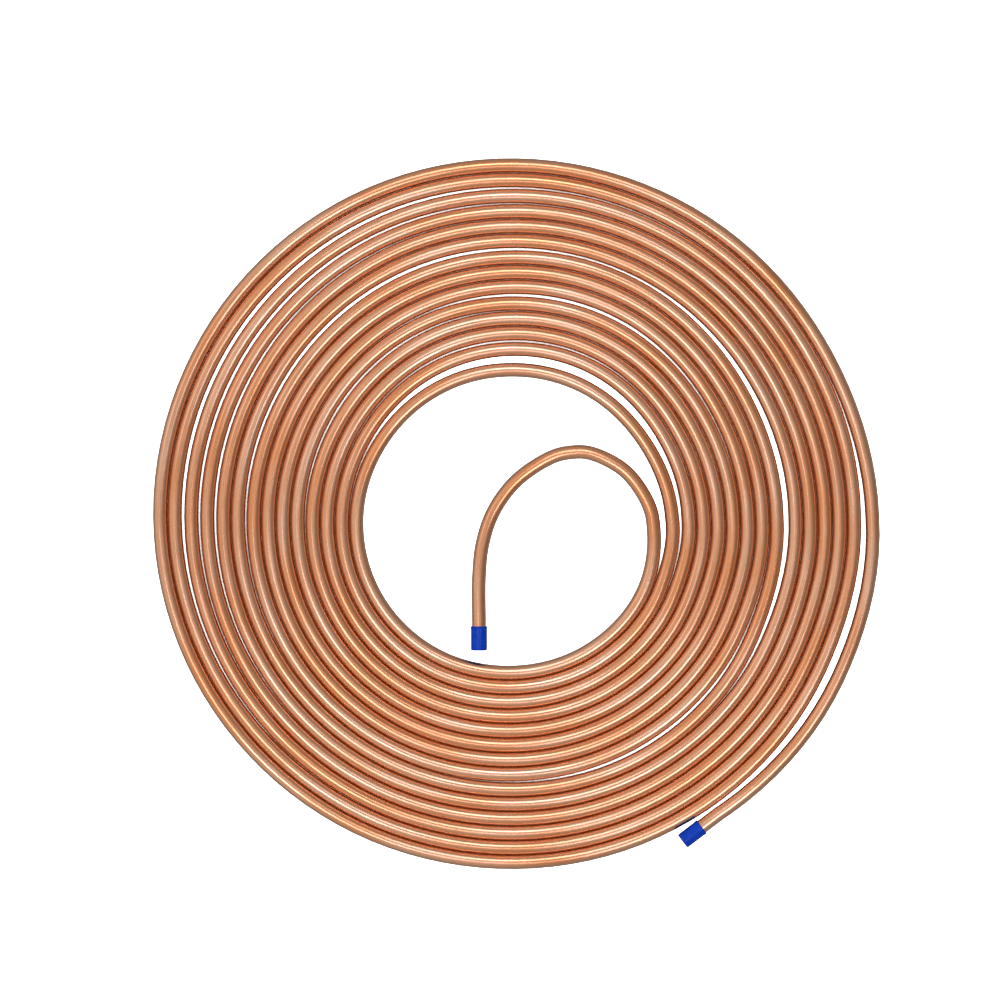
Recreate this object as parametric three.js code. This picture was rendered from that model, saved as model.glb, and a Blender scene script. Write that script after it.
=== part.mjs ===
// A flat coil of bare copper tube: one length of tube wound in a single layer like a watch spring,
// with a short tail bent into the middle and a soft blue cap pushed over each end.
// Millimetres, +Z up. The coil lies on the plane z = 0, and its middle is over the origin.
import * as THREE from "three";

// The tube
const TUBE_OD = 4.76;
const TUBE_WALL = 0.71;

// The winding. Places along it are counted in turns outward, from 0 where the tail leaves the coil
// on the +X side. It runs clockwise outward, so turn 0.25 is on the -Y side and 0.5 on the -X side.
const TURNS = 14.155;
const OPENING_DIAMETER = 97;
// How far the innermost turn's centre line lies off its mean circle at every twelfth of a turn
const OUT_OF_ROUND = [-1.7, 0, 1.2, 2.6, 3, 2.2, 0.4, -1.1, -2.2, -2.2, -1.5, 1];
// Slit between turns that lie together, the most that it widens, and where the turns lie tightest
const SLIT = 0.08;
const SLIT_GROWTH = 0.11;
const TIGHTEST_AT = 0.28;
// Stretches where a turn springs away from the next one outward: from, to, and by how much
const SPREADS = [
  [-0.075, 0.075, 1.65],
  [0.49, 1.11, 2.1],
  [1.5, 1.96, 0.33],
  [3.43, 3.79, 0.4],
  [4.61, 4.99, 0.6],
  [7, 7.32, 0.65],
  [7.36, 7.94, 0.65],
  [7.78, 8.16, 1.35],
  [9.32, 9.75, 0.5],
  [10.35, 10.83, 0.6],
  [11.29, 11.88, 0.8],
];
// The loose outer end springs off the turn inside it, from this share of a turn before the end, and
// would only lie close again this far beyond it
const END_SPREAD = 1.9;
const END_SPREAD_TURNS = 0.24;
const END_SPREAD_BEYOND = 0.06;

// The inner tail's bends, as shares of the opening's radius, from the coil to the straight leg
const TAIL_BENDS = [
  [0.864, 0.165],
  [0.733, 0.321],
  [0.513, 0.431],
  [0.374, 0.437],
  [0.24, 0.402],
  [0, 0.241],
  [-0.154, 0.032],
  [-0.229, -0.185],
  [-0.254, -0.411],
];
// The straight leg's cap ends this far from the innermost turn, which it meets at this place of it
const TAIL_END_CLEARANCE = 3.2;
const TURN_FACING_TAIL_END = 0.293;

// The outer end: a straight length that flares a little off the coil
const OUTER_FLARE_DEGREES = 3;
const OUTER_STRAIGHT_BEFORE_CAP = 7;

// The caps
const CAP_WALL = 0.25;
const CAP_CLEARANCE = 0.15;
const CAP_LENGTH = 8.1;
const CAP_END_WALL = 0.6;
const CAP_CHAMFER = 0.45;
// Length over which the tube rises from the floor to the height of its capped ends
const RISE_LENGTH = 40;

// Fineness of the surface
const SECTION_SIDES = 8;
const STEPS_PER_TURN = 24;
const STEPS_PER_BEND = 2;
// The shortest step that may be left before the winding's end, as a share of a whole one
const SHORTEST_STEP = 0.4;
// How far back along the winding its direction is taken from, in turns
const TANGENT_REACH = 0.002;

const CAP_OD = TUBE_OD + 2 * (CAP_CLEARANCE + CAP_WALL);
const CAP_DEPTH = CAP_LENGTH - CAP_END_WALL - CAP_CLEARANCE;
const NODES = OUT_OF_ROUND.length;

const copper = new THREE.MeshStandardMaterial({ color: 0xcd9b7d, roughness: 0.28, metalness: 1 });
const bluePlastic = new THREE.MeshStandardMaterial({ color: 0x0a41b4, roughness: 0.45, metalness: 0 });

// A bump that rises from 0 at both limits to 1 halfway
function bump(at, from, to) {
  if (at <= from || at >= to) return 0;
  return Math.sin((Math.PI * (at - from)) / (to - from)) ** 2;
}

// Clear width between the tube at this place of the winding and the next turn outside it
function gapOutside(turn) {
  let gap = SLIT + SLIT_GROWTH * Math.sin(Math.PI * (turn - TIGHTEST_AT)) ** 2;
  for (const [from, to, extra] of SPREADS) gap += extra * bump(turn, from, to);
  const besideEnd = TURNS - 1;
  return gap + END_SPREAD * bump(turn, besideEnd - END_SPREAD_TURNS, besideEnd + END_SPREAD_BEYOND);
}

// Radius of the centre line at a node of the innermost turn, or at a like node further in or out
function nodeRadius(node) {
  if (node < 0) return 2 * nodeRadius(0) - nodeRadius(-node);
  if (node === 0) return nodeRadius(NODES) - TUBE_OD - gapOutside(0);
  if (node > NODES) return nodeRadius(node - NODES) + TUBE_OD + gapOutside(node / NODES - 1);
  return OPENING_DIAMETER / 2 + TUBE_OD / 2 + OUT_OF_ROUND[node - 1];
}

// Radius of the centre line anywhere: the innermost turn is a smooth curve through its nodes, and
// every turn outside it lies against the one before
function coilRadius(turn) {
  if (turn > 1) return coilRadius(turn - 1) + TUBE_OD + gapOutside(turn - 1);
  const node = Math.min(Math.floor(turn * NODES), NODES - 1);
  const t = turn * NODES - node;
  const [a, b, c, d] = [-1, 0, 1, 2].map((step) => nodeRadius(node + step));
  return b + 0.5 * t * (c - a + t * (2 * a - 5 * b + 4 * c - d + t * (3 * (b - c) + d - a)));
}

function coilPoint(turn) {
  const angle = -2 * Math.PI * turn;
  const radius = coilRadius(turn);
  return new THREE.Vector3(radius * Math.cos(angle), radius * Math.sin(angle), 0);
}

// The tail's straight leg runs towards -Y until its cap is a clearance away from the innermost turn
function tailLeg(legX) {
  const capCorner = Math.abs(legX) + CAP_OD / 2;
  const innerWall = coilRadius(TURN_FACING_TAIL_END) - TUBE_OD / 2 - TAIL_END_CLEARANCE;
  const capEnd = -Math.sqrt(innerWall ** 2 - capCorner ** 2);
  const tubeEnd = capEnd + CAP_LENGTH - CAP_DEPTH;
  return [
    new THREE.Vector3(legX, tubeEnd, 0),
    new THREE.Vector3(legX, tubeEnd + CAP_DEPTH, 0),
  ];
}

// The bent tail, from the end in the cap to just before the coil
function tailPoints() {
  const share = OPENING_DIAMETER / 2;
  const bends = TAIL_BENDS.map(([x, y]) => new THREE.Vector3(x * share, y * share, 0)).reverse();
  const leg = tailLeg(bends[0].x);
  const guides = [leg[1], ...bends, coilPoint(0), coilPoint(1 / STEPS_PER_TURN)];
  const curve = new THREE.CatmullRomCurve3(guides, false, "centripetal");
  const spans = guides.length - 1;
  const points = [leg[0]];
  for (let i = 0; i < (spans - 1) * STEPS_PER_BEND; i++) {
    points.push(curve.getPoint(i / STEPS_PER_BEND / spans));
  }
  return points;
}

function coilPoints() {
  const wholeSteps = Math.floor(TURNS * STEPS_PER_TURN - SHORTEST_STEP);
  const points = [];
  for (let step = 0; step <= wholeSteps; step++) points.push(coilPoint(step / STEPS_PER_TURN));
  points.push(coilPoint(TURNS));
  return points;
}

// The straight outer end, from the coil's last point
function outerPoints(last) {
  const up = new THREE.Vector3(0, 0, 1);
  const tangent = last.clone().sub(coilPoint(TURNS - TANGENT_REACH)).normalize();
  const flared = tangent.applyAxisAngle(up, THREE.MathUtils.degToRad(OUTER_FLARE_DEGREES));
  const lengths = [OUTER_STRAIGHT_BEFORE_CAP, OUTER_STRAIGHT_BEFORE_CAP + CAP_DEPTH];
  return lengths.map((length) => last.clone().addScaledVector(flared, length));
}

// The tube lies on the floor, and rises at both ends by the cap's wall so that the caps lie on it too
function liftEnds(points) {
  const lengths = [0];
  for (let i = 1; i < points.length; i++) {
    lengths.push(lengths[i - 1] + points[i].distanceTo(points[i - 1]));
  }
  const total = lengths[lengths.length - 1];
  points.forEach((point, i) => {
    const fromMouth = Math.min(lengths[i], total - lengths[i]) - CAP_DEPTH;
    const rise = 1 - THREE.MathUtils.smoothstep(fromMouth, 0, RISE_LENGTH);
    point.z = TUBE_OD / 2 + (rise * (CAP_OD - TUBE_OD)) / 2;
  });
  return points;
}

function tubeRoute() {
  const coil = coilPoints();
  return liftEnds([...tailPoints(), ...coil, ...outerPoints(coil[coil.length - 1])]);
}

// One ring of a swept section: flat underneath, widened in plan where the route bends so that the
// straight stretches on both sides keep the full width
function sectionRing(centre, heading, width, bend = 0) {
  const side = new THREE.Vector3(-heading.y, heading.x, 0).normalize();
  const corner = width / 2 / Math.cos(Math.PI / SECTION_SIDES);
  const mitre = 1 / Math.cos(bend / 2);
  const ring = [];
  for (let k = 0; k < SECTION_SIDES; k++) {
    const angle = ((k + 0.5) * 2 * Math.PI) / SECTION_SIDES;
    const point = centre.clone().addScaledVector(side, corner * mitre * Math.cos(angle));
    point.z += corner * Math.sin(angle);
    ring.push(point);
  }
  return ring;
}

// A closed surface through rings in order: its two ends are filled flat, or joined to each other
function loftedGeometry(rings, joined) {
  const positions = rings.flat().flatMap((point) => point.toArray());
  const faces = [];
  const spans = joined ? rings.length : rings.length - 1;
  for (let i = 0; i < spans; i++) {
    const here = i * SECTION_SIDES;
    const next = ((i + 1) % rings.length) * SECTION_SIDES;
    for (let k = 0; k < SECTION_SIDES; k++) {
      const l = (k + 1) % SECTION_SIDES;
      faces.push(here + k, here + l, next + l, here + k, next + l, next + k);
    }
  }
  if (!joined) {
    const last = (rings.length - 1) * SECTION_SIDES;
    for (let k = 1; k < SECTION_SIDES - 1; k++) {
      faces.push(0, k + 1, k);
      faces.push(last, last + k, last + k + 1);
    }
  }
  const geometry = new THREE.BufferGeometry();
  geometry.setAttribute("position", new THREE.Float32BufferAttribute(positions, 3));
  geometry.setIndex(faces);
  geometry.computeVertexNormals();
  return geometry;
}

// The tube's wall: the outside from the inner end to the outer one, and the bore back again
function tubeGeometry(route) {
  const outside = [];
  const bore = [];
  route.forEach((point, i) => {
    const back = point.clone().sub(route[Math.max(i - 1, 0)]).setZ(0).normalize();
    const ahead = route[Math.min(i + 1, route.length - 1)].clone().sub(point).setZ(0).normalize();
    const bend = i > 0 && i < route.length - 1 ? back.angleTo(ahead) : 0;
    const heading = back.add(ahead);
    outside.push(sectionRing(point, heading, TUBE_OD, bend));
    bore.unshift(sectionRing(point, heading, TUBE_OD - 2 * TUBE_WALL, bend));
  });
  return loftedGeometry([...outside, ...bore], true);
}

// A cup over the tube's end: its outside from the closed end to the mouth, and its bore back in
function capGeometry(tubeEnd, outward) {
  const at = (depth) => tubeEnd.clone().addScaledVector(outward, CAP_LENGTH - CAP_DEPTH - depth);
  const bore = TUBE_OD + 2 * CAP_CLEARANCE;
  const backward = outward.clone().negate();
  return loftedGeometry(
    [
      sectionRing(at(0), backward, CAP_OD - 2 * CAP_CHAMFER),
      sectionRing(at(CAP_CHAMFER), backward, CAP_OD),
      sectionRing(at(CAP_LENGTH), backward, CAP_OD),
      sectionRing(at(CAP_LENGTH), backward, bore),
      sectionRing(at(CAP_END_WALL), backward, bore),
    ],
    false,
  );
}

function cap(name, tubeEnd, beforeEnd) {
  const outward = tubeEnd.clone().sub(beforeEnd).normalize();
  return named(name, capGeometry(tubeEnd, outward), bluePlastic);
}

function named(name, geometry, material) {
  const mesh = new THREE.Mesh(geometry, material);
  mesh.name = name;
  return mesh;
}

function copperTubeCoil() {
  const route = tubeRoute();
  const coil = new THREE.Group();
  coil.add(named("copper_tube", tubeGeometry(route), copper));
  coil.add(cap("inner_end_cap", route[0], route[1]));
  coil.add(cap("outer_end_cap", route[route.length - 1], route[route.length - 2]));
  const middle = new THREE.Box3().setFromObject(coil).getCenter(new THREE.Vector3());
  coil.position.set(-middle.x, -middle.y, 0);
  const part = new THREE.Group();
  part.add(coil);
  return part;
}

export default copperTubeCoil();
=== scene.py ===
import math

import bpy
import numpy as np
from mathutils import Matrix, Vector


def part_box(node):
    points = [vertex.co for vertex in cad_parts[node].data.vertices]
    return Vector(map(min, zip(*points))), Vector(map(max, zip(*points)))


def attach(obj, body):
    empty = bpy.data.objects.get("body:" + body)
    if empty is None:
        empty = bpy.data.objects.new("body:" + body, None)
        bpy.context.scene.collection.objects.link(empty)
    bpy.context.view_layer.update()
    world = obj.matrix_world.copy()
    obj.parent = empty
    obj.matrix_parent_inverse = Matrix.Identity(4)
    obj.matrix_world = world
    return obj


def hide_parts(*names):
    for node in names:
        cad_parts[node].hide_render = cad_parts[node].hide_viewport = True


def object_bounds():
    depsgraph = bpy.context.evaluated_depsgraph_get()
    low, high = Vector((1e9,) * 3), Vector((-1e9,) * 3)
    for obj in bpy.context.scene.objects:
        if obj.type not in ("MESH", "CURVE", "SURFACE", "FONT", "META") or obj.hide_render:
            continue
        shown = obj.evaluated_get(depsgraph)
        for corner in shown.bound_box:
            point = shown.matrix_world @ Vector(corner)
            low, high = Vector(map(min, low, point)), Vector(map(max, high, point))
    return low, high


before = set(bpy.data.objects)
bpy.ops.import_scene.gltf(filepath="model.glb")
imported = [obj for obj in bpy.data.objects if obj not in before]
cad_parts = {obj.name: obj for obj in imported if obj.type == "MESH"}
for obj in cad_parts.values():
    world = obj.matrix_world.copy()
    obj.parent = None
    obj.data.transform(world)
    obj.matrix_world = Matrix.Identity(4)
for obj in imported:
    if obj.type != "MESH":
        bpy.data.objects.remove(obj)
CAD_LOW, CAD_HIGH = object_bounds()

# %% [markdown]
# # A flat coil of copper tube
# The object is one length of soft copper tube, wound in a single layer like a watch spring. Its
# inner end is bent into the open middle, and a soft blue cap is pushed over each end.
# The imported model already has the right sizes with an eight-sided section. This script makes the
# same three pieces round, gives them their finishes, and sets them on a lit white table.
# Lengths in the first cells are millimetres, as on the maker's drawing. MM turns them to metres.

MM = 0.001
CAD_SIZE = CAD_HIGH - CAD_LOW
print("packed model", [round(side / MM, 2) for side in CAD_SIZE], "mm")

# %% [markdown]
# ## The winding
# A real coil is not a clean spiral. The innermost turn is a little out of round, every turn outside
# it lies against the one before, and here and there a turn springs away and leaves a slit. A clean
# spiral formula would miss all of that, and a hand-drawn curve of 14 turns would be hard to mend.
# So the route is worked out the way the coil is wound: radius of the turn before, plus one tube,
# plus the slit at that place. Places are counted in turns outward from where the tail leaves.

# %% Sizes of the tube and of its winding
TUBE_OD = 4.76
TUBE_WALL = 0.71
TURNS = 14.155
OPENING_DIAMETER = 97
# How far the innermost turn is off a true circle, at each twelfth of it
OUT_OF_ROUND = [-1.7, 0, 1.2, 2.6, 3, 2.2, 0.4, -1.1, -2.2, -2.2, -1.5, 1]
SLIT = 0.08
SLIT_GROWTH = 0.11
TIGHTEST_AT = 0.28
# Where a turn springs away: from and to in turns, and the extra width halfway
SPREADS = [
    (-0.075, 0.075, 1.65),
    (0.49, 1.11, 2.1),
    (1.5, 1.96, 0.33),
    (3.43, 3.79, 0.4),
    (4.61, 4.99, 0.6),
    (7, 7.32, 0.65),
    (7.36, 7.94, 0.65),
    (7.78, 8.16, 1.35),
    (9.32, 9.75, 0.5),
    (10.35, 10.83, 0.6),
    (11.29, 11.88, 0.8),
]
END_SPREAD = 1.9
END_SPREAD_TURNS = 0.24
END_SPREAD_BEYOND = 0.06
NODES = len(OUT_OF_ROUND)


def bump(at, start, stop):
    """A smooth rise from 0 at both limits to 1 halfway."""
    if at <= start or at >= stop:
        return 0.0
    return math.sin(math.pi * (at - start) / (stop - start)) ** 2


def gap_outside(turn):
    """Clear width between the tube at this place and the next turn outside it."""
    gap = SLIT + SLIT_GROWTH * math.sin(math.pi * (turn - TIGHTEST_AT)) ** 2
    gap += sum(extra * bump(turn, start, stop) for start, stop, extra in SPREADS)
    start, stop = TURNS - 1 - END_SPREAD_TURNS, TURNS - 1 + END_SPREAD_BEYOND
    return gap + END_SPREAD * bump(turn, start, stop)


def node_radius(node):
    """Radius of the centre line at a node. The innermost turn has one at each twelfth."""
    if node < 0:
        return 2 * node_radius(0) - node_radius(-node)
    if node == 0:
        return node_radius(NODES) - TUBE_OD - gap_outside(0)
    if node > NODES:
        return node_radius(node - NODES) + TUBE_OD + gap_outside(node / NODES - 1)
    return OPENING_DIAMETER / 2 + TUBE_OD / 2 + OUT_OF_ROUND[node - 1]


def coil_radius(turn):
    """Radius of the centre line: a Catmull-Rom curve for the innermost turn, then turn on turn."""
    if turn > 1:
        return coil_radius(turn - 1) + TUBE_OD + gap_outside(turn - 1)
    node = min(int(turn * NODES), NODES - 1)
    t = turn * NODES - node
    a, b, c, d = (node_radius(node + step) for step in (-1, 0, 1, 2))
    return b + 0.5 * t * (c - a + t * (2 * a - 5 * b + 4 * c - d + t * (3 * (b - c) + d - a)))


def coil_point(turn):
    """The centre line's point in plan. Outward, the coil goes round clockwise."""
    angle = -2 * math.pi * turn
    return np.array([math.cos(angle), math.sin(angle)]) * coil_radius(turn)


print("outermost turn", round(2 * coil_radius(TURNS - 0.5), 1), "mm across its centre line")

# %% [markdown]
# ## The inner tail and the outer end
# The tail is the part of the tube that was bent by hand: it leaves the coil on the right, swings
# over in a hook and runs straight down to its cap. A few guide points and a Catmull-Rom curve
# through them give that shape. The centripetal kind is used, because it never loops or overshoots
# where guide points lie close together. The outer end is only a short straight length.

# %% Guide points of the tail and a curve through them
# In half widths of the coil's opening, from its middle
TAIL_BENDS = [
    (0.864, 0.165),
    (0.733, 0.321),
    (0.513, 0.431),
    (0.374, 0.437),
    (0.24, 0.402),
    (0, 0.241),
    (-0.154, 0.032),
    (-0.229, -0.185),
    (-0.254, -0.411),
]
TAIL_END_CLEARANCE = 3.2
TURN_FACING_TAIL_END = 0.293
OUTER_FLARE_DEGREES = 3
OUTER_STRAIGHT_BEFORE_CAP = 7
CAP_WALL = 0.25
CAP_CLEARANCE = 0.15
CAP_LENGTH = 8.1
CAP_END_WALL = 0.6
CAP_OD = TUBE_OD + 2 * (CAP_CLEARANCE + CAP_WALL)
CAP_DEPTH = CAP_LENGTH - CAP_END_WALL - CAP_CLEARANCE


def between(a, b, c, d, t):
    """A point of the centripetal curve from b to c, with a and d as the guides around them."""
    before, here, after = (math.sqrt(math.dist(p, q)) for p, q in ((a, b), (b, c), (c, d)))
    start = ((b - a) / before - (c - a) / (before + here) + (c - b) / here) * here
    end = ((c - b) / here - (d - b) / (here + after) + (d - c) / after) * here
    return b + t * (start + t * (3 * (c - b) - 2 * start - end + t * (2 * (b - c) + start + end)))


def smooth_curve(guides, steps):
    """Points through all the guides, with this many steps to a span."""
    ends = [2 * guides[0] - guides[1], *guides, 2 * guides[-1] - guides[-2]]
    spans = range(len(guides) - 1)
    return [between(*ends[i : i + 4], step / steps) for i in spans for step in range(steps)]


hook_width = (TAIL_BENDS[0][0] - TAIL_BENDS[-1][0]) * OPENING_DIAMETER / 2
print("tail hook is", round(hook_width, 1), "mm wide")

# %% The whole route, end to end
COARSE_STEPS_PER_TURN = 24
FINE_STEPS_PER_TURN = 120
STEPS_PER_BEND = 8
TANGENT_REACH = 0.002


def tail_route():
    """Points from the tube's inner end to the coil, and the place of the inner cap's closed end."""
    bends = [np.array(bend) * OPENING_DIAMETER / 2 for bend in reversed(TAIL_BENDS)]
    leg_x = bends[0][0]
    inner_wall = coil_radius(TURN_FACING_TAIL_END) - TUBE_OD / 2 - TAIL_END_CLEARANCE
    cap_end = -math.sqrt(inner_wall**2 - (abs(leg_x) + CAP_OD / 2) ** 2)
    tube_end = cap_end + CAP_LENGTH - CAP_DEPTH
    mouth = np.array([leg_x, tube_end + CAP_DEPTH])
    guides = [mouth, *bends, coil_point(0), coil_point(1 / COARSE_STEPS_PER_TURN)]
    curve = smooth_curve(guides, STEPS_PER_BEND)
    return [np.array([leg_x, tube_end]), *curve[:-STEPS_PER_BEND]], cap_end


def outer_route():
    """Points of the short straight length after the coil's last turn."""
    last = coil_point(TURNS)
    tangent = last - coil_point(TURNS - TANGENT_REACH)
    tangent /= np.linalg.norm(tangent)
    flare = math.radians(OUTER_FLARE_DEGREES)
    turned = np.array([[math.cos(flare), -math.sin(flare)], [math.sin(flare), math.cos(flare)]])
    bare = OUTER_STRAIGHT_BEFORE_CAP
    return [last + turned @ tangent * length for length in (bare / 2, bare, bare + CAP_DEPTH)]


tail, tail_cap_end = tail_route()
coil_steps = [*np.arange(0, TURNS, 1 / FINE_STEPS_PER_TURN), TURNS]
plan = np.array([*tail, *(coil_point(turn) for turn in coil_steps), *outer_route()])
along = np.concatenate([[0], np.cumsum(np.linalg.norm(np.diff(plan, axis=0), axis=1))])
print("tube", round(along[-1] * MM, 2), "m long in", len(plan), "places")

# %% [markdown]
# The tube lies flat on the table. The caps are a little thicker than the tube and lie on the table
# too, so the tube rises by the cap's wall just before each end. A smooth step does that.
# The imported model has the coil's own middle moved over the origin. The inner cap's box tells how
# far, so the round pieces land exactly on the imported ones.

# %% Height of the tube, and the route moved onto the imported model
RISE_LENGTH = 40
from_mouth = np.minimum(along, along[-1] - along) - CAP_DEPTH
level = np.clip(from_mouth / RISE_LENGTH, 0, 1)
rise = 1 - level**2 * (3 - 2 * level)
height = TUBE_OD / 2 + rise * (CAP_OD - TUBE_OD) / 2

cap_low, cap_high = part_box("inner_end_cap")
middle_x = (cap_low.x + cap_high.x) / 2 / MM - tail[0][0]
middle_y = cap_low.y / MM - tail_cap_end
route = np.column_stack([plan + [middle_x, middle_y], height]) * MM
print("coil's middle in the packed frame", round(middle_x, 3), round(middle_y, 3), "mm")

# %% [markdown]
# ## A round tube from the route
# Blender can bevel a curve into a tube, but it can't give it a bore. A solidify modifier could, at
# the price of faces across the ends that need mending. Here rings of points are set square to the
# route, first outside from end to end and then inside on the way back, and neighbours are joined by
# faces. The last bore ring joins the first outside ring, so the wall is one closed surface.

# %% Rings of points and the faces between them
OUTSIDE_SIDES = 32
BORE_SIDES = 12


def headings(points):
    """Unit directions in plan along a route."""
    ahead = np.gradient(points[:, :2], axis=0)
    return ahead / np.linalg.norm(ahead, axis=1, keepdims=True)


def rings(points, ahead, radius, sides):
    """Circles of points round each place of the route, as an array of places by sides by 3."""
    angle = (np.arange(sides) + 0.5) * 2 * math.pi / sides
    left = np.column_stack([-ahead[:, 1], ahead[:, 0], np.zeros(len(ahead))])
    up = np.array([0.0, 0.0, 1.0])
    radius = np.broadcast_to(radius, len(points))[:, None, None]
    circle = left[:, None, :] * np.cos(angle)[None, :, None] + up * np.sin(angle)[None, :, None]
    return points[:, None, :] + circle * radius


def faces_between(first, second, sides):
    """Four-sided faces from one ring of points to the next."""
    around = [(k, (k + 1) % sides) for k in range(sides)]
    return [(first + k, first + after, second + after, second + k) for k, after in around]


def mesh_piece(name, points, faces, material):
    """A smooth-shaded object with one material."""
    mesh = bpy.data.meshes.new(name)
    mesh.from_pydata([tuple(point) for point in points], [], faces)
    mesh.materials.append(material)
    mesh.shade_smooth()
    piece = bpy.data.objects.new(name, mesh)
    bpy.context.scene.collection.objects.link(piece)
    print(name, len(mesh.vertices), "points", len(mesh.polygons), "faces")
    return piece


# %% [markdown]
# ## Bright drawn copper
# Soft copper tube comes off the draw bench bright, with fine lines along its length from the die, a
# slight haze, and patches that are pinker or browner where it was handled. The lines have to follow
# the tube round the coil, which no coordinate of space does. So each point of the tube carries the
# place it would have on the straight tube before it was wound, and the noise reads that. Stretching
# that place along the length turns round grains into long lines.

# %% Small helpers for node trees
RANGE_SOCKETS = ("From Min", "From Max", "To Min", "To Max")


def noise(tree, place, scale, detail):
    """A noise texture at this place, with values from 0 to 1."""
    node = tree.nodes.new("ShaderNodeTexNoise")
    node.inputs["Scale"].default_value = scale
    node.inputs["Detail"].default_value = detail
    tree.links.new(place, node.inputs["Vector"])
    return node.outputs["Fac"]


def stretched(tree, place, scale):
    """The place with its three numbers scaled. A smaller scale draws the pattern out that way."""
    node = tree.nodes.new("ShaderNodeMapping")
    node.inputs["Scale"].default_value = scale
    tree.links.new(place, node.inputs["Vector"])
    return node.outputs["Vector"]


def remapped(tree, value, old_range, new_range=(0, 1)):
    """A value spread from one range, low to high, over another, and kept inside it."""
    node = tree.nodes.new("ShaderNodeMapRange")
    for socket, number in zip(RANGE_SOCKETS, (*old_range, *new_range)):
        node.inputs[socket].default_value = number
    tree.links.new(value, node.inputs["Value"])
    return node.outputs["Result"]


def mixed(tree, share, first, second):
    """A blend of two colours, each given as numbers or as another node's output."""
    node = tree.nodes.new("ShaderNodeMix")
    node.data_type = "RGBA"
    tree.links.new(share, node.inputs["Factor"])
    for socket, colour in (("A", first), ("B", second)):
        slot = [s for s in node.inputs if s.name == socket and s.type == "RGBA"][0]
        if isinstance(colour, tuple):
            slot.default_value = (*colour, 1)
        else:
            tree.links.new(colour, slot)
    return [s for s in node.outputs if s.type == "RGBA"][0]


def bumped(tree, height_value, distance, strength):
    """The surface's direction as if this height, in metres, stood on it."""
    node = tree.nodes.new("ShaderNodeBump")
    node.inputs["Distance"].default_value = distance
    node.inputs["Strength"].default_value = strength
    tree.links.new(height_value, node.inputs["Height"])
    return node.outputs["Normal"]


def new_finish(name):
    """A new material with its node tree and its main shader."""
    material = bpy.data.materials.new(name)
    material.use_nodes = True
    return material, material.node_tree, material.node_tree.nodes["Principled BSDF"]


# %% The copper's colour, in clean and handled patches
STRAIGHT_PLACE = "place_on_straight_tube"
COPPER_CLEAN = (0.97, 0.52, 0.31)
COPPER_HANDLED = (0.93, 0.37, 0.155)
PATCH_STRETCH = (1, 6, 6)
PATCH_SCALE = 28
PATCH_DETAIL = 3
PATCH_RANGE = (0.35, 0.65)

copper, tree, shader = new_finish("drawn_copper")
attribute = tree.nodes.new("ShaderNodeAttribute")
attribute.attribute_name = STRAIGHT_PLACE
place = attribute.outputs["Vector"]
patches = noise(tree, stretched(tree, place, PATCH_STRETCH), PATCH_SCALE, PATCH_DETAIL)
bright = mixed(tree, remapped(tree, patches, PATCH_RANGE), COPPER_CLEAN, COPPER_HANDLED)
shader.inputs["Metallic"].default_value = 1
print("copper's colour", len(tree.nodes), "nodes")

# %% The haze and the die's fine lines
HAZE_STRETCH = (1, 10, 10)
HAZE_SCALE = 60
HAZE_DETAIL = 4
HAZE_RANGE = (0.3, 0.7)
COPPER_ROUGHNESS = (0.21, 0.3)
LINE_STRETCH = (0.02, 1, 1)
LINE_SCALE = 1800
LINE_DETAIL = 3
LINE_DEPTH = 0.006 * MM
LINE_STRENGTH = 0.25

haze = noise(tree, stretched(tree, place, HAZE_STRETCH), HAZE_SCALE, HAZE_DETAIL)
tree.links.new(remapped(tree, haze, HAZE_RANGE, COPPER_ROUGHNESS), shader.inputs["Roughness"])
lines = noise(tree, stretched(tree, place, LINE_STRETCH), LINE_SCALE, LINE_DETAIL)
tree.links.new(bumped(tree, lines, LINE_DEPTH, LINE_STRENGTH), shader.inputs["Normal"])
print("copper without its flanks", len(tree.nodes), "nodes")

# %% [markdown]
# ## Painted shade on the flanks
# The sides of the tube are painted duller and less red than its crest. This is painted shade: the
# colour stands in for the dimmer light that the flanks of a round tube show. Two colours on the
# mesh would end in a hard edge. The place on the straight tube gives a soft one: its second number
# runs across the tube, from 0 on the crest to one radius at either side. The haze is added to it,
# so the edge of the shaded band wanders.

# %% The painted shade on the flanks
# Painted shade: the tube's flanks get a duller, darker copper than its crest
COPPER_FLANK_PAINTED_SHADE = (0.77, 0.44, 0.27)
FLANK_SHADE_FROM = 0.5
FLANK_SHADE_FULLY = 0.9
FLANK_SHADE_EDGE_WANDERS = 0.12

straight_parts = tree.nodes.new("ShaderNodeSeparateXYZ")
tree.links.new(place, straight_parts.inputs["Vector"])
sideways = tree.nodes.new("ShaderNodeMath")
sideways.operation = "ABSOLUTE"
tree.links.new(straight_parts.outputs["Y"], sideways.inputs[0])
flank = remapped(tree, sideways.outputs["Value"], (0, TUBE_OD / 2 * MM))
wander = remapped(tree, haze, HAZE_RANGE, (-FLANK_SHADE_EDGE_WANDERS, FLANK_SHADE_EDGE_WANDERS))
uneven = tree.nodes.new("ShaderNodeMath")
uneven.operation = "ADD"
tree.links.new(flank, uneven.inputs[0])
tree.links.new(wander, uneven.inputs[1])
# How much painted shade each place gets, from none on the crest to full towards the sides
flank_shade_share = remapped(tree, uneven.outputs["Value"], (FLANK_SHADE_FROM, FLANK_SHADE_FULLY))
tree.links.new(mixed(tree, flank_shade_share, bright, COPPER_FLANK_PAINTED_SHADE), shader.inputs["Base Color"])
print("whole copper finish", len(tree.nodes), "nodes")

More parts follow.
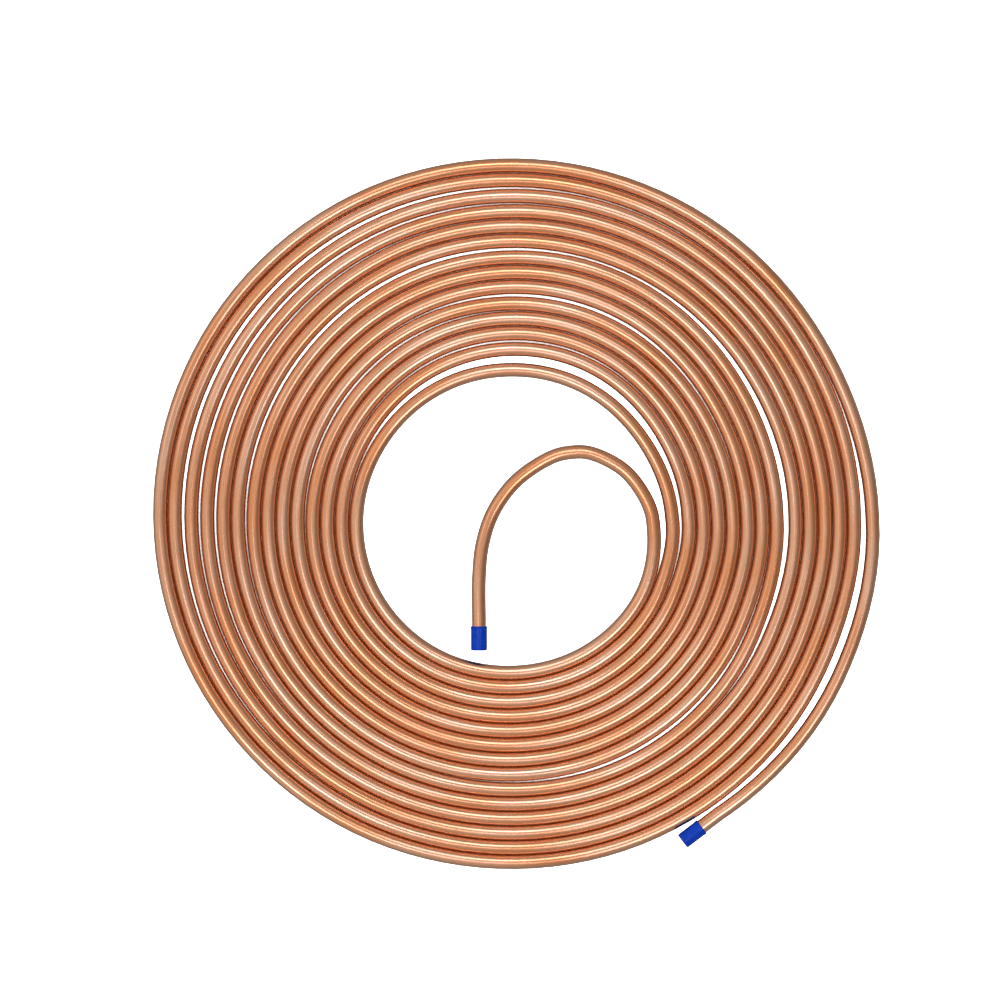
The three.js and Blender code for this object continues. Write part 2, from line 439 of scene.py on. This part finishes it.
# %% The tube itself
ahead = headings(route)
outside = rings(route, ahead, TUBE_OD / 2 * MM, OUTSIDE_SIDES)
bore = rings(route, ahead, (TUBE_OD / 2 - TUBE_WALL) * MM, BORE_SIDES)[::-1]
tube_points = np.concatenate([outside.reshape(-1, 3), bore.reshape(-1, 3)])
last_place = len(route) - 1
tube_faces = []
for i in range(last_place):
    tube_faces += faces_between(i * OUTSIDE_SIDES, (i + 1) * OUTSIDE_SIDES, OUTSIDE_SIDES)
bore_start = len(route) * OUTSIDE_SIDES
for i in range(last_place):
    first = bore_start + i * BORE_SIDES
    tube_faces += faces_between(first, first + BORE_SIDES, BORE_SIDES)


def ring_face(outer_first, outer_sides, inner_first, inner_sides):
    """The flat end of the wall, between an outside ring and a bore ring with fewer points."""
    faces, inner = [], 0
    for k in range(outer_sides):
        corner = outer_first + (k + 1) % outer_sides
        nearer = inner_first + inner % inner_sides
        faces.append((corner, outer_first + k, nearer))
        if (k + 1) / outer_sides >= (inner + 1) / inner_sides:
            further = inner_first + (inner + 1) % inner_sides
            faces.append((corner, nearer, further))
            inner += 1
    return faces


tail_bore_ring = bore_start + last_place * BORE_SIDES
tube_faces += ring_face(0, OUTSIDE_SIDES, tail_bore_ring, BORE_SIDES)
outer_end_faces = ring_face(last_place * OUTSIDE_SIDES, OUTSIDE_SIDES, bore_start, BORE_SIDES)
tube_faces += [face[::-1] for face in outer_end_faces]
tube = mesh_piece("copper_tube_round", tube_points, tube_faces, copper)

# %% The place of every point on the straight tube
def straight_places(radius, sides, distances):
    """Rings of points as they lie on the straight tube, at these distances from its end."""
    angle = (np.arange(sides) + 0.5) * 2 * math.pi / sides
    places = np.zeros((len(distances), sides, 3))
    places[:, :, 0] = distances[:, None]
    places[:, :, 1] = radius * np.cos(angle)
    places[:, :, 2] = radius * np.sin(angle)
    return places.reshape(-1, 3)


straight = np.concatenate([
    straight_places(TUBE_OD / 2, OUTSIDE_SIDES, along),
    straight_places(TUBE_OD / 2 - TUBE_WALL, BORE_SIDES, along[::-1]),
]) * MM
carried = tube.data.attributes.new(STRAIGHT_PLACE, "FLOAT_VECTOR", "POINT")
carried.data.foreach_set("vector", straight.ravel())
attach(tube, "root")
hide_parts("copper_tube")
print("straight places", len(straight), "from 0 to", round(straight[:, 0].max(), 2), "m")

# %% [markdown]
# ## Soft caps
# Each cap is a little blue cup, dipped or moulded in soft vinyl and pushed over the tube's end to
# keep dirt out. A plain cylinder would look cut from bar. The real cup has a rounded end, a lip at
# its mouth that is slightly thicker, and a thin wall, so its section is drawn as a line and turned
# round the tube's axis. Its blue is cloudy, and its skin has a fine grain.

# %% The cap's finish
CAP_BLUE = (0.001, 0.04, 0.42)
CAP_BLUE_WORN = (0.002, 0.065, 0.56)
CLOUD_SCALE = 500
CLOUD_DETAIL = 3
CLOUD_RANGE = (0.35, 0.65)
CAP_ROUGHNESS = (0.16, 0.24)
SKIN_SCALE = 2500
SKIN_DETAIL = 2
SKIN_DEPTH = 0.03 * MM
SKIN_STRENGTH = 0.3
VINYL_IOR = 1.5
VINYL_SPECULAR = 0.15

vinyl, tree, shader = new_finish("blue_vinyl")
place = tree.nodes.new("ShaderNodeTexCoord").outputs["Object"]
clouds = remapped(tree, noise(tree, place, CLOUD_SCALE, CLOUD_DETAIL), CLOUD_RANGE)
tree.links.new(mixed(tree, clouds, CAP_BLUE, CAP_BLUE_WORN), shader.inputs["Base Color"])
tree.links.new(remapped(tree, clouds, (0, 1), CAP_ROUGHNESS), shader.inputs["Roughness"])
skin = noise(tree, place, SKIN_SCALE, SKIN_DETAIL)
tree.links.new(bumped(tree, skin, SKIN_DEPTH, SKIN_STRENGTH), shader.inputs["Normal"])
shader.inputs["IOR"].default_value = VINYL_IOR
shader.inputs["Specular IOR Level"].default_value = VINYL_SPECULAR
print("vinyl finish", len(tree.nodes), "nodes")

# %% A cap's section
CAP_SIDES = 48
END_ROUND = 0.55
ROUND_STEPS = 6
LIP_HEIGHT = 0.06
# Lengths of the lip and the rim are counted back from the mouth
LIP_STARTS = 1.1
LIP_IS_FULL = 0.8
RIM_LENGTH = 0.12
RIM_HEIGHT = 0.1
MOUTH_EASE_LENGTH = 0.05
MOUTH_EASE_HEIGHT = 0.03
INSIDE_CORNER = 0.2
MIDDLE_DISC = 0.02


def cap_section():
    """Depth from the closed end and radius, from the end's middle out to the mouth and back in."""
    radius, bore = CAP_OD / 2, TUBE_OD / 2 + CAP_CLEARANCE
    body = radius - LIP_HEIGHT
    turns = [math.pi / 2 * step / ROUND_STEPS for step in range(ROUND_STEPS + 1)]
    return [
        (0, MIDDLE_DISC),
        *((END_ROUND * (1 - math.cos(a)), body - END_ROUND * (1 - math.sin(a))) for a in turns),
        (CAP_LENGTH - LIP_STARTS, body),
        (CAP_LENGTH - LIP_IS_FULL, radius),
        (CAP_LENGTH - RIM_LENGTH, radius),
        (CAP_LENGTH, radius - RIM_HEIGHT),
        (CAP_LENGTH, bore + MOUTH_EASE_HEIGHT),
        (CAP_LENGTH - MOUTH_EASE_LENGTH, bore),
        (CAP_END_WALL + INSIDE_CORNER, bore),
        (CAP_END_WALL, bore - INSIDE_CORNER),
        (CAP_END_WALL, MIDDLE_DISC),
    ]


print("cap section", len(cap_section()), "points")

# %% The two caps
def make_cap(name, end, before_end):
    """A cap over the tube's end, its section turned round the line from before_end to end."""
    outward = (end - before_end) / np.linalg.norm(end - before_end)
    closed_end = end + outward * (CAP_LENGTH - CAP_DEPTH) * MM
    section = np.array(cap_section()) * MM
    centres = closed_end - outward * section[:, :1]
    ahead = np.repeat(-outward[None, :2], len(section), axis=0)
    points = rings(centres, ahead, section[:, 1], CAP_SIDES).reshape(-1, 3)
    faces = []
    for i in range(len(section) - 1):
        faces += faces_between(i * CAP_SIDES, (i + 1) * CAP_SIDES, CAP_SIDES)
    last = (len(section) - 1) * CAP_SIDES
    faces.append(tuple(range(CAP_SIDES))[::-1])
    faces.append(tuple(range(last, last + CAP_SIDES)))
    cap = mesh_piece(name, points, faces, vinyl)
    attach(cap, "root")
    return cap


inner_cap = make_cap("inner_cap_vinyl", route[0], route[1])
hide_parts("inner_end_cap")
outer_cap = make_cap("outer_cap_vinyl", route[-1], route[-2])
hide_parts("outer_end_cap")

# %% [markdown]
# ## Table and light
# The coil is photographed from straight above on a white board, so brightly that the board comes
# out pure white, even in a slit a millimetre wide. Yet the rims of the tube, which mirror it, are
# dull, and slits between turns that touch are a dark red-brown. Brighter lamps would bleach the
# copper too, and a board that glows for everything would give pale rims.
# So the board glows for the camera alone. Every other ray, such as one that the tube mirrors, meets
# plain white board. The glow's brightness comes from ambient occlusion, which measures how open the
# space above a place is: open board is white, and a closed slit has the red-brown of light that
# went from copper to copper. Only the board, which is stage, is made this way, and no finish of
# the coil itself is.

# %% The table
TABLE_SIZE = 6.0
TABLE_WHITE = 0.45
OPEN_TABLE = (2.6, 2.6, 2.5)
CLOSED_SLIT = (0.3, 0.065, 0.011)
OPENNESS_REACH = 8 * MM
SLIT_CLOSED_BELOW = 0.1
SLIT_OPEN_ABOVE = 0.17
OPENNESS_SAMPLES = 16


def two_shaders(tree, share, first, second):
    """The first shader where the share is 0, and the second where it is 1."""
    node = tree.nodes.new("ShaderNodeMixShader")
    tree.links.new(share, node.inputs["Fac"])
    tree.links.new(first, node.inputs[1])
    tree.links.new(second, node.inputs[2])
    return node.outputs["Shader"]


board, tree, shader = new_finish("white_board")
tree.nodes.remove(shader)
lit = tree.nodes.new("ShaderNodeBsdfDiffuse")
lit.inputs["Color"].default_value = (TABLE_WHITE, TABLE_WHITE, TABLE_WHITE, 1)
occlusion = tree.nodes.new("ShaderNodeAmbientOcclusion")
occlusion.samples = OPENNESS_SAMPLES
occlusion.inputs["Distance"].default_value = OPENNESS_REACH
openness = remapped(tree, occlusion.outputs["AO"], (SLIT_CLOSED_BELOW, SLIT_OPEN_ABOVE))
glow = tree.nodes.new("ShaderNodeEmission")
tree.links.new(mixed(tree, openness, CLOSED_SLIT, OPEN_TABLE), glow.inputs["Color"])
filmed = tree.nodes.new("ShaderNodeLightPath").outputs["Is Camera Ray"]
surface = two_shaders(tree, filmed, lit.outputs["BSDF"], glow.outputs["Emission"])
tree.links.new(surface, tree.nodes["Material Output"].inputs["Surface"])
board.cycles.emission_sampling = "NONE"
half = TABLE_SIZE / 2
corners = [(-half, -half, 0), (half, -half, 0), (half, half, 0), (-half, half, 0)]
table = mesh_piece("table", corners, [(0, 1, 2, 3)], board)

# %% [markdown]
# The studio is a soft tent. What a bright tube shows is the tent itself, squeezed into its width:
# the crest shows what is overhead, half way down each flank the horizon, and the rims the table.
# So the tent's brightness is given by height above the horizon, a little brighter on the left.
# Three square softboxes stand round the camera, at the top, lower left and lower right of the
# picture. Each one lights up the crests of the turns that run across its direction, and leaves the
# turns that point at it dull, which gives the coil its bright sectors. A fourth stands lower, left.

# %% The tent
TENT_LEVELS = [(0.0, 0.36), (0.2, 0.4), (0.5, 0.45), (0.77, 0.46), (1.0, 0.46)]
NEW_STOP_AT = 0.5
LEFT_IS_BRIGHTER = 0.5

scene = bpy.context.scene
# Blender's usual view transform would turn the white board grey.
scene.view_settings.view_transform = "Standard"
tent = bpy.data.worlds.new("studio_tent")
scene.world = tent
tent.use_nodes = True
tree = tent.node_tree
direction = tree.nodes.new("ShaderNodeTexCoord").outputs["Generated"]
parts = tree.nodes.new("ShaderNodeSeparateXYZ")
tree.links.new(direction, parts.inputs["Vector"])
ramp = tree.nodes.new("ShaderNodeValToRGB")
stops = ramp.color_ramp.elements
while len(stops) < len(TENT_LEVELS):
    stops.new(NEW_STOP_AT)
for stop, (position, level_there) in zip(stops, TENT_LEVELS):
    stop.position = position
    stop.color = (level_there, level_there, level_there, 1)
tree.links.new(parts.outputs["Z"], ramp.inputs["Fac"])
side = tree.nodes.new("ShaderNodeMath")
side.operation = "MULTIPLY_ADD"
side.inputs[1].default_value = -LEFT_IS_BRIGHTER
side.inputs[2].default_value = 1
tree.links.new(parts.outputs["X"], side.inputs[0])
backdrop = tree.nodes["Background"]
tree.links.new(ramp.outputs["Color"], backdrop.inputs["Color"])
tree.links.new(side.outputs["Value"], backdrop.inputs["Strength"])
white = tree.nodes.new("ShaderNodeBackground")
white.inputs["Color"].default_value = (1, 1, 1, 1)
filmed = tree.nodes.new("ShaderNodeLightPath").outputs["Is Camera Ray"]
surface = two_shaders(tree, filmed, backdrop.outputs["Background"], white.outputs["Background"])
tree.links.new(surface, tree.nodes["World Output"].inputs["Surface"])
print("tent", len(tree.nodes), "nodes")

# %% The softboxes
SOFTBOX_DISTANCE = 1.6
# Cooler than white, so that its streaks on the copper are nearly white
SOFTBOX_COLOUR = (0.95, 1.05, 1.4)


def softbox(name, direction, tilt, width, brightness):
    """A square lamp facing the coil.

    Its direction is in degrees, 90 towards the top of the picture, and so is its tilt from
    straight above. Its brightness is that of its surface, whatever its size.
    """
    lamp = bpy.data.lights.new(name, "AREA")
    lamp.shape = "SQUARE"
    lamp.size = width
    lamp.color = SOFTBOX_COLOUR
    lamp.energy = brightness * math.pi * width**2
    box = bpy.data.objects.new(name, lamp)
    turn, lean = math.radians(direction), math.radians(tilt)
    out, up = SOFTBOX_DISTANCE * math.sin(lean), SOFTBOX_DISTANCE * math.cos(lean)
    box.location = (out * math.cos(turn), out * math.sin(turn), up)
    box.rotation_euler = (0, lean, turn)
    box.visible_camera = False
    scene.collection.objects.link(box)
    print(name, round(lamp.energy, 2), "W")


softbox("top_softbox", direction=90, tilt=25, width=0.48, brightness=3.8)
softbox("lower_left_softbox", direction=228, tilt=21, width=0.44, brightness=3.8)
softbox("lower_right_softbox", direction=308, tilt=26, width=0.5, brightness=3.6)
softbox("left_softbox", direction=155, tilt=48, width=0.6, brightness=0.5)

# %% [markdown]
# ## The camera
# The photo is square and taken from straight above, with the coil's middle a little to the right of
# its own and below it. The lens could be set by eye, but it follows from two lengths: the camera's
# height over the tube's middle line, and the width that the photo shows at that level.

# %% The camera, straight above
CAMERA_HEIGHT = 1.5
CAMERA_SEES_TO = 20
VIEW_WIDTH = 333 * MM
# Millimetres from the coil's middle to the photo's
VIEW_MIDDLE = (-5.33, 5.33)

camera_data = bpy.data.cameras.new("overhead")
camera = bpy.data.objects.new("overhead", camera_data)
scene.collection.objects.link(camera)
view_x, view_y = middle_x + VIEW_MIDDLE[0], middle_y + VIEW_MIDDLE[1]
camera.location = (view_x * MM, view_y * MM, CAMERA_HEIGHT)
to_tube = CAMERA_HEIGHT - TUBE_OD / 2 * MM
camera_data.lens = camera_data.sensor_width * to_tube / VIEW_WIDTH
camera_data.clip_end = CAMERA_SEES_TO
scene.camera = camera
print("lens", round(camera_data.lens), "mm")
